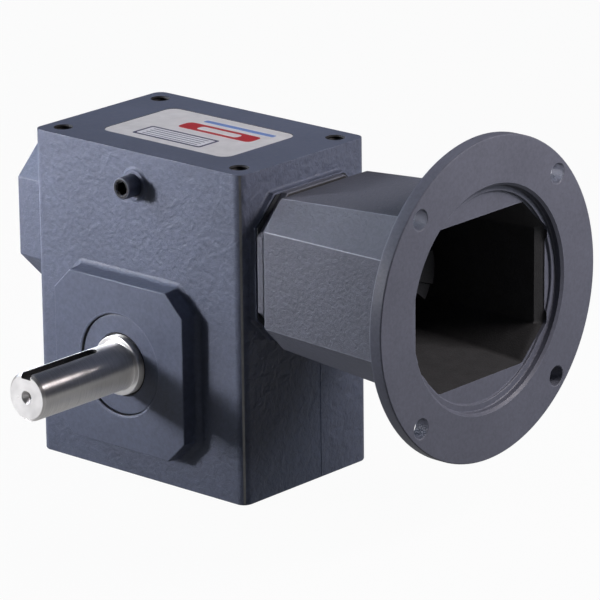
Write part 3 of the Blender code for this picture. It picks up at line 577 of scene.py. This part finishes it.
    def rule(at, normal):
        within_x = BODY_X[0] + 1.5 < at.x < BODY_X[1] - 1.5
        within_y = BODY_Y[0] + 1.5 < at.y < BODY_Y[1] - 1.5
        if math.hypot(at.x, at.z - OUTPUT_Z) < 27.2 and PAD_Y + 0.8 < at.y < BODY_Y[0] - 0.3:
            return raw
        # The cavity's ends near the top and bottom take the near-black iron as painted shade.
        if within_x and within_y and 1.5 < at.z < TOP - 1.5:
            return hole if at.z > TOP - 20 or at.z < 20 else raw
        # Walls of the tapped holes in the top take the near-black iron as painted shade.
        near_top = at.z > TOP - 2 and abs(at.x - MIDDLE_X) < 68 and abs(at.y) < 43
        if near_top and abs(normal.z) < 0.9:
            return hole
        if normal.z > 0.99 and at.z > TOP - 0.5 or normal.z < -0.99 and at.z < 0.1:
            return flat
        if normal.y < -0.99 and at.y < PAD_Y + 0.1 or normal.x > 0.99 and at.x > OPEN_END - 0.1:
            return flat
        if normal.y > 0.99 and at.y > BODY_Y[1] - 0.1:
            return flat
        return rough if at.x > wall - 1 else cast

    paints = (CAST_PAINT, FLAT_PAINT, RAW_IRON, HOLE_SHADE_IRON, ROUGH_PAINT)
    finished(body, HOME, ["housing"], paints, rule)


# ---------------------------------------------------------------- motor adapter
def make_adapter():
    near, far = (46.3, 39.4, 32.6, 25.3), (50.9, 46.6, 34.8, 27.0)
    start, end = 89.6, FLANGE_BACK + 2

    def section(x, grow, radius=1.3):
        share = (x - start) / (end - start)
        return (x, eight(tuple(a + (b - a) * share for a, b in zip(near, far)), grow, radius, 5))

    rows = [(start, -1.5), (start + 0.2, -0.8), (start + 0.7, -0.25), (start + 1.6, 0), (186.6, 0)]
    for angle in (25, 50, 75):
        turn = math.radians(angle)
        rows.append((186.6 + 3.2 * math.sin(turn), 3.2 * (1 - math.cos(turn))))
    rows.append((191.9, 2.6))
    sections = [section(x, grow) for x, grow in rows]
    body = loft("motor_adapter_casting", sections, "X", WORM)
    foot = (41.2, 38.8, 22.0, 19.6)
    rows = [(ADAPTER_START, -0.3), (ADAPTER_START + 0.25, 0), (84.6, 0), (85.1, -0.15), (85.4, -0.6),
            (85.4, -1.2)]
    foot = loft("foot", [(x, eight(foot, grow, 1.4)) for x, grow in rows], "X", WORM)
    neck = prism("neck", eight((39.4, 37.0, 22.0, 19.6), 0, 1.2), 84, 91.5, "X", WORM)
    big = FLANGE_RADIUS
    disc = [(big - 1.3, FLANGE_BACK), (big - 0.5, FLANGE_BACK + 0.25), (big - 0.1, FLANGE_BACK + 0.8),
            (big, FLANGE_BACK + 1.4), (big, MOTOR_FACE - 0.9), (big - 0.12, MOTOR_FACE - 0.45),
            (big - 0.4, MOTOR_FACE - 0.12), (big - 0.9, MOTOR_FACE)]
    hollow = [
        (99.0, (40.5, 34.0, 29.0, 22.5)), (188.5, (45.9, 41.3, 32.3, 24.6)),
        (191.5, (50.0, 41.8, 32.6, 24.8)), (194.0, (50.0, 41.8, 32.6, 24.8)),
    ]
    deep = MOTOR_FACE - REGISTER_DEPTH
    wide = REGISTER_RADIUS
    register = [(53.0, deep - 1.5), (53.6, deep - 1.2), (53.6, deep - 0.35), (53.9, deep), (56.8, deep),
                (wide, deep + 0.35), (wide, MOTOR_FACE - 1.25), (58.5, MOTOR_FACE), (58.5, MOTOR_FACE + 1)]
    bore = [(22.0, 76), (22.0, 82.5), (17.0, 82.5), (17.0, 87.5), (23.7, 87.5), (23.7, 101)]
    steps = [
        ("UNION", foot), ("UNION", neck),
        ("UNION", lathe("motor_flange", disc, "X", WORM, 160)),
        ("UNION", lathe("spigot", [(30.4, 77.5), (30.9, 78), (30.9, 84)], "X", WORM, 64)),
        ("DIFFERENCE", loft("hollow", [(x, eight(size, 0, 3.0)) for x, size in hollow], "X", WORM)),
        ("DIFFERENCE", lathe("register", register, "X", WORM, 144)),
        ("DIFFERENCE", lathe("bore", bore, "X", WORM, 64)),
    ]
    hole = [(5.15, 188), (5.15, MOTOR_FACE - 0.35), (5.55, MOTOR_FACE), (5.55, MOTOR_FACE + 1)]
    for n, (y, z) in enumerate(corners(MOTOR_HOLES)):
        at = (0, y, WORM_Z + z)
        steps.append(("DIFFERENCE", lathe(f"motor_hole_{n}", hole, "X", at, 40)))
    for n, (y, z) in enumerate(corners(ADAPTER_SCREWS)):
        at = (0, y, WORM_Z + z)
        steps.append(("DIFFERENCE", lathe(f"clear_{n}", [(4.2, 79), (4.2, 101)], "X", at, 24)))
    combined(body, *steps)

    cast, flat, inside, raw, edge = range(5)

    def rule(at, normal):
        reach = math.hypot(at.y, at.z - WORM_Z)
        if normal.x > 0.99 and at.x > FLANGE_BACK + 1:
            return flat
        if reach > FLANGE_RADIUS - 2 and at.x > FLANGE_BACK:
            return flat
        if 52 < reach < 60 and at.x > deep - 2:
            return flat
        # Faces within the hollow take the near-black material as painted shade.
        if at.x > 86 and normal.x < 0.99:
            out = normal.y * at.y + normal.z * (at.z - WORM_Z)
            if out < -0.1 * reach and reach < 57 and abs(normal.x) < 0.9:
                return inside
        if normal.x > 0.9 and at.x < 180:
            return inside
        if at.x < 100 and reach < 31.5:
            return raw
        # Strips along the octagon's edges take the lighter paint as a painted highlight.
        lean = math.degrees(math.atan2(abs(normal.z), abs(normal.y)))
        if start + 2 < at.x < 186 and (8 < lean < 34 or 55 < lean < 82):
            return edge
        return cast

    paints = (ADAPTER_CAST, ADAPTER_FLAT, CAVITY_SHADE, RAW_IRON, ADAPTER_EDGE_HIGHLIGHT)
    finished(body, HOME, ["motor_adapter"], paints, rule)
    outline = eight(cut_square(40.4, 38.0, 14.2))
    ring = prism("adapter_gasket_sheet", outline, 80.7, 81.3, "X", WORM)
    bore = lathe("ring_bore", [(31.4, 79), (31.4, 83)], "X", WORM, 64)
    combined(ring, ("DIFFERENCE", bore))
    finished(ring, HOME, ["adapter_gasket"], (PAPER,))


# ---------------------------------------------------------------- small pieces
def make_nameplate():
    at = (MIDDLE_X, 0, 0)
    high = PLATE_HIGH[2]
    x, y = ((-half, half) for half in PLATE_HALF)
    rows = [(PLATE_LOW[2], 0), (high - 0.12, 0), (high, -0.12)]
    sections = [(z, oblong(x, y, PLATE_CORNER, 6, grow)) for z, grow in rows]
    plate = loft("label_plate", sections, "Z", at)
    finished(plate, HOME, ["nameplate"], (PLATE,))
    fields = [
        ("label_frame", (-27.0, 20.0), (-21.5, -5.5), NAVY, 0.05, 1.2),
        ("label_panel", (-25.4, 18.4), (-19.9, -7.1), WHITE, 0.08, 0.8),
        ("label_band", (-17.0, 33.0), (1.5, 12.5), RED, 0.05, 3.0),
        ("label_inset", (-6.0, 22.0), (4.2, 9.8), PLATE, 0.08, 2.0),
        ("label_stripe", (-12.0, 36.0), (16.5, 20.0), AZURE, 0.05, 0.8),
    ]
    for n in range(4):
        low = -18.4 + 2.9 * n
        fields.append((f"label_rule_{n}", (-22.5, 15.5), (low, low + 0.7), NAVY, 0.1, 0.2))
    for name, x, y, look, rise, radius in fields:
        field = prism(name, oblong(x, y, radius, 4), high - 0.05, high + rise * 0.6, "Z", at)
        finished(field, HOME, [], (look,))


def make_plug(name, node, axis, at, tip, root):
    """A pipe plug with a rounded rim and a hexagon socket. tip is its outer end."""
    out = math.copysign(1, tip - root)
    profile = [(5.2, root), (5.8, root + out * 0.6), (5.8, tip - out * 0.9), (5.65, tip - out * 0.4),
               (5.3, tip - out * 0.1), (4.9, tip)]
    plug = lathe(name, profile, axis, at, 48)
    flare = [(3.2, tip - out * 0.9), (4.1, tip), (4.1, tip + out)]
    mouth = lathe(f"{name}_mouth", flare, axis, at, 48)
    socket = prism(f"{name}_socket", hexagon(6.35), tip - out * 5.3, tip + out, axis, at)
    combined(plug, ("DIFFERENCE", mouth), ("DIFFERENCE", socket))

    # The socket's faces take the near-black iron as painted shade.
    def rule(place, normal):
        away = [place[k] - at[k] for k in range(3) if k != "XYZ".index(axis)]
        return 1 if math.hypot(*away) < 3.75 else 0

    finished(plug, HOME, [node], (PLUG_PAINT, HOLE_SHADE_IRON), rule)


def make_seals():
    face = mm_box("output_seal_case")[0][1]
    radius = mm_box("output_seal_case")[1][0]
    case = [(16.9, face + 0.3), (17.2, face), (radius - 1.3, face), (radius - 0.5, face + 0.25),
            (radius - 0.12, face + 0.8), (radius, face + 1.5), (radius, face + 8),
            (25.4, face + 8), (25.4, face + 1.6), (16.9, face + 1.6)]
    case = lathe("seal_case_ring", case, "Y", OUTPUT, 96, ring=True)
    finished(case, HOME, ["output_seal_case"], (FLAT_PAINT,))
    low = mm_box("output_seal_lip")[0][1]
    lip = [(16.0, low + 1.1), (16.2, low + 0.8), (16.6, low + 0.8), (16.7, low + 1.1), (16.7, low + 2.2),
           (18.2, low + 2.4), (18.2, low + 6), (16.0, low + 5.5), (16.0, low + 4.4), (16.5, low + 2.6)]
    lip = lathe("seal_lip_ring", lip, "Y", OUTPUT, 96, ring=True)
    finished(lip, HOME, ["output_seal_lip"], (RUBBER,))


def hex_bolt(name, node, at, across, under, rise, shank_radius, tip):
    """A hexagon head bolt along +Y, its head chamfered and its thread grooved."""
    head = prism(name, hexagon(across, 0.3), under + 0.4, under + rise, "Y", at)
    cone = [(0, under - 1), (across * 0.49, under - 1), (across * 0.58, under + 0.9),
            (across * 0.6, under + rise * 0.62), (across * 0.47, under + rise), (0, under + rise)]
    washer = lathe(f"{name}_washer", [(across * 0.47, under), (across * 0.47, under + 1)], "Y", at, 48)
    profile = [(shank_radius - 1, tip), (shank_radius - 0.2, tip + 0.8)]
    place = tip + 1.2
    while place < under - 5:
        profile += [(shank_radius, place), (shank_radius - 0.55, place + 0.75)]
        place += 1.5
    profile += [(shank_radius, under - 4.5), (shank_radius, under + 1)]
    combined(head, ("INTERSECT", lathe(f"{name}_cone", cone, "Y", at, 48)), ("UNION", washer),
             ("UNION", lathe(f"{name}_shank", profile, "Y", at, 32)))
    finished(head, HOME, [node], (BLACK_OXIDE,))


def make_cover():
    near, face = 48.7, 57.0
    size = cut_square(COVER_HALF, COVER_HALF, COVER_CORNER)
    rows = [(near, -0.5), (near + 0.5, 0), (face - 1.8, 0), (face - 0.8, -0.25), (face - 0.25, -0.8),
            (face, -1.8)]
    sections = [(y, eight(size, grow, 3.0, 5)) for y, grow in rows]
    cover = loft("output_cover_casting", sections, "Y", OUTPUT)
    hub = [(51.3, near + 1), (51.3, 43), (50.5, 42), (36.5, 42), (36.5, 33.8), (0, 33.8)]
    rows = [(37.5, near + 2), (37.5, face - 0.02), (36.0, face + 0.25), (34.8, face + 0.9),
            (34.2, face + 2), (33.6, 60.4), (32.8, 61.4), (31.4, 62), (0, 62)]
    bore = [(29.75, 32), (29.75, 48.5), (24.5, 48.5), (24.5, 53.5)]
    steps = [("UNION", lathe("spigot", hub, "Y", OUTPUT, 80)),
             ("UNION", lathe("dome", rows, "Y", OUTPUT, 96)),
             ("DIFFERENCE", lathe("bore", bore, "Y", OUTPUT, 64))]
    outline = eight(cut_square(COVER_HALF - 0.5, COVER_HALF - 0.5, COVER_CORNER), 0, 3.0, 5)
    sheet = prism("cover_gasket_sheet", outline, near - 0.6, near - 0.1, "Y", OUTPUT)
    holes = [("DIFFERENCE", lathe("sheet_opening", [(52, 40), (52, 60)], "Y", OUTPUT, 80))]
    drill = [(5.0, 40), (5.0, 60)]
    for n, (x, z) in enumerate(corners(COVER_SCREWS)):
        at = (x, 0, OUTPUT_Z + z)
        steps.append(("DIFFERENCE", lathe(f"hole_{n}", drill, "Y", at, 32)))
        holes.append(("DIFFERENCE", lathe(f"sheet_hole_{n}", drill, "Y", at, 32)))
        name, node = f"cover_screw_{n + 1}", f"cover_bolt_{n + 1}"
        hex_bolt(name, node, at, 14.3, face + 0.2, 6.2, 4.76, 40.4)
    combined(cover, *steps)
    combined(sheet, *holes)

    def rule(at, normal):
        if normal.y > 0.99 and at.y > 61:
            return 1
        within = math.hypot(at.x, at.z - OUTPUT_Z) < 51.4
        return 2 if at.y < near + 0.2 and normal.y < 0.5 and within else 0

    paints = (CAST_PAINT, FLAT_PAINT, RAW_IRON)
    finished(cover, HOME, ["output_cover"], paints, rule)
    finished(sheet, HOME, ["cover_gasket"], (PAPER,))


def make_cap_screws():
    head = 99.2
    for n, (y, z) in enumerate(corners(ADAPTER_SCREWS)):
        at = (0, y, WORM_Z + z)
        profile = [(0, 68), (3.3, 68), (3.95, 68.8)]
        place = 69.5
        while place < 84:
            profile += [(3.95, place), (3.5, place + 0.6)]
            place += 1.25
        profile += [(3.95, 85), (3.95, head), (6.3, head), (6.3, head + 7.0), (6.1, head + 7.5),
                    (5.6, head + 7.9), (0, head + 7.9)]
        screw = lathe(f"cap_screw_{n + 1}", profile, "X", at, 40)
        socket = prism(f"socket_{n}", hexagon(6.35), head + 3.5, head + 9, "X", at)
        combined(screw, ("DIFFERENCE", socket))
        node = f"adapter_bolt_{n + 1}"
        finished(screw, HOME, [node], (BLACK_OXIDE,))


def make_shaft():
    end, small, large = SHAFT_END, SHAFT_RADIUS, JOURNAL_RADIUS
    profile = [
        (0, end), (small - 1.4, end), (small - 1.25, end + 0.08), (small - 0.08, end + 1.25),
        (small, end + 1.5), (small, -60.3), (small + 0.3, -59.75), (small + 0.8, -59.6),
        (large - 0.6, -59.6), (large - 0.18, -59.42), (large, -59.0), (large, -33.4),
        (large + 0.4, -33.0), (21.1, -33.0), (21.5, -32.6), (21.5, -18.9), (21.1, -18.5),
        (17.5, -18.5), (17.5, 18.0), (17.1, 18.4), (large, 18.4), (large, 50.0), (large - 1, 51.0),
        (0, 51.0),
    ]
    shaft = lathe("output_shaft_steel", profile, "Y", OUTPUT, 128)
    half, depth, length = 3.175, 3.2, 50.0
    inner = end + length
    slot = [(half, end - 2)]
    for n in range(15):
        turn = math.pi * n / 14
        slot.append((half * math.cos(turn), inner - half + half * math.sin(turn)))
    slot += [(-half, end - 2)]
    keyway = prism("keyway", slot, small - depth, small + 3, "Z", OUTPUT)
    drill = [(0, 8), (1.6, 7), (1.6, 2.9), (3.5, -0.02), (3.5, -1), (0, -1)]
    drill = lathe("centre_drill", [(r, end + y) for r, y in drill], "Y", OUTPUT, 48)
    seat = block("gear_keyway", (-4.15, 4.15), (-14.4, 14.4), (13.3, 24.0), OUTPUT)
    combined(shaft, ("DIFFERENCE", keyway), ("DIFFERENCE", drill), ("DIFFERENCE", seat))

    def rule(at, normal):
        if normal.y < -0.9 and (at.y < end + 0.2 or -59.9 < at.y < -59):
            return 1
        # The keyway's faces take the dark steel as painted shade.
        in_slot = abs(at.x) < half + 0.05 and at.z > OUTPUT_Z + small - depth - 0.1
        return 2 if in_slot and math.hypot(at.x, at.z - OUTPUT_Z) < small - 0.15 and at.y < inner + 1 else 0

    paints = (SHAFT_STEEL, FACED_STEEL, MILLED_STEEL_PAINTED_SHADE)
    finished(shaft, "output_rotor", ["output_shaft"], paints, rule, origin=OUTPUT)


make_housing()
make_adapter()
make_nameplate()
make_plug("vent_plug_painted", "vent_plug", "Y", (PLUG_X, 0, PLUG_Z), VENT_LOW[1], VENT_HIGH[1])
make_plug("drain_plug_painted", "drain_plug", "X", (0, 0, DRAIN_Z), DRAIN_LOW[0], DRAIN_HIGH[0])
make_seals()
make_cover()
make_cap_screws()
make_shaft()


# ---------------------------------------------------------------- stage, camera, lights
FLOOR_GREY = (0.1, 0.1, 0.105, 1)
FLOOR_GLOW = 1.2
GLOW_TO_CAMERA = 0.8
GLOW_TO_REFLECTIONS = 0.3


def make_stage():
    """A floor that looks nearly white, shows fainter in reflections, and throws back little light."""
    far = 9000
    sheet = [(-far, -far, 0), (far, -far, 0), (far, far, 0), (-far, far, 0)]
    floor = solid("studio_floor", sheet, [[0, 1, 2, 3]])
    floor.location.z = -0.0002
    look = bpy.data.materials.new("pale_floor")
    look.use_nodes = True
    tree = look.node_tree
    tree.nodes.clear()
    output = tree.nodes.new("ShaderNodeOutputMaterial")
    mix = tree.nodes.new("ShaderNodeMixShader")
    diffuse = tree.nodes.new("ShaderNodeBsdfDiffuse")
    diffuse.inputs["Color"].default_value = FLOOR_GREY
    glow = tree.nodes.new("ShaderNodeEmission")
    glow.inputs["Color"].default_value = (1, 1, 1, 1)
    glow.inputs["Strength"].default_value = FLOOR_GLOW
    path = tree.nodes.new("ShaderNodeLightPath")
    seen = tree.nodes.new("ShaderNodeMath")
    seen.operation = "MULTIPLY"
    seen.inputs[1].default_value = GLOW_TO_CAMERA
    tree.links.new(path.outputs["Is Camera Ray"], seen.inputs[0])
    share = tree.nodes.new("ShaderNodeMath")
    share.operation = "MULTIPLY_ADD"
    share.inputs[1].default_value = GLOW_TO_REFLECTIONS
    tree.links.new(path.outputs["Is Glossy Ray"], share.inputs[0])
    tree.links.new(seen.outputs[0], share.inputs[2])
    tree.links.new(share.outputs[0], mix.inputs["Fac"])
    tree.links.new(diffuse.outputs[0], mix.inputs[1])
    tree.links.new(glow.outputs[0], mix.inputs[2])
    tree.links.new(mix.outputs[0], output.inputs["Surface"])
    floor.data.materials.append(look)

    world = bpy.data.worlds.new("studio")
    bpy.context.scene.world = world
    world.use_nodes = True
    back = world.node_tree.nodes["Background"]
    back.inputs["Color"].default_value = (0.8, 0.88, 1.0, 1)
    back.inputs["Strength"].default_value = AMBIENT


def make_light(name, spot, size, power, spread, target, colour):
    data = bpy.data.lights.new(name, "AREA")
    data.shape = "RECTANGLE"
    data.size, data.size_y = size
    data.energy = power
    data.spread = math.radians(spread)
    data.color = colour
    light = bpy.data.objects.new(name, data)
    light.visible_camera = False
    bpy.context.scene.collection.objects.link(light)
    light.location = spot
    aim = Vector(target) - Vector(spot)
    light.rotation_euler = aim.to_track_quat("-Z", "Y").to_euler()


CAMERA_ANGLES = (41.61, 17.47, -0.68)  # azimuth, elevation and roll in degrees
CAMERA_DISTANCE = 2.38641
CAMERA_TARGET = (0.00502, 0, 0.06238)
CAMERA_SLIDE = (0.05073, 0.02085)  # across and up, in metres
CAMERA_LENS = 275.27


def make_camera():
    turn, rise, roll = (math.radians(angle) for angle in CAMERA_ANGLES)
    back = Vector((math.sin(turn) * math.cos(rise), -math.cos(turn) * math.cos(rise), math.sin(rise)))
    right = Vector((math.cos(turn), math.sin(turn), 0))
    up = back.cross(right)
    across = math.cos(roll) * right + math.sin(roll) * up
    upward = math.cos(roll) * up - math.sin(roll) * right
    slide = CAMERA_SLIDE[0] * across + CAMERA_SLIDE[1] * upward
    place = CAMERA_DISTANCE * back + slide + Vector(CAMERA_TARGET)
    data = bpy.data.cameras.new("camera")
    data.sensor_width = 36
    data.lens = CAMERA_LENS
    data.clip_end = 50
    camera = bpy.data.objects.new("camera", data)
    bpy.context.scene.collection.objects.link(camera)
    camera.matrix_world = Matrix.Translation(place) @ Matrix((across, upward, back)).transposed().to_4x4()
    bpy.context.scene.camera = camera


# Name, place, size, power, spread in degrees, target and colour of each light
LIGHTS = [
    ("key", (-1.1, -1.1, 0.5), (0.4, 0.4), 1.4, 22, (-0.20, -0.05, 0.30), (1, 0.98, 1.02)),
    ("left", (-1.7, -0.5, 0.9), (1.2, 1.2), 7.0, 120, (-0.1, 0, 0.1), (0.86, 0.98, 1.16)),
    ("low", (-1.0, -1.5, 0.15), (0.9, 0.9), 0.45, 120, (-0.1, 0, 0.1), (0.92, 0.99, 1.1)),
    ("rim", (1.7, 0.9, 0.5), (0.6, 0.6), 2.9, 120, (0.1, 0, 0.1), (0.93, 0.98, 1.08)),
    ("arch", (0.55, 0.22, 0.5), (0.2, 0.2), 1.0, 120, (0.19, 0, 0.17), (1.08, 1.0, 1.0)),
    ("shaft_card", (-0.057, -0.189, 0.036), (0.075, 0.075), 0.0075, 170, (0, -0.125, 0.0624), (1, 0.99, 1)),
]
AMBIENT = 0.045
make_stage()
for light in LIGHTS:
    make_light(*light)
make_camera()
bpy.context.scene.view_settings.view_transform = "Standard"
bpy.context.scene.view_settings.look = "None"
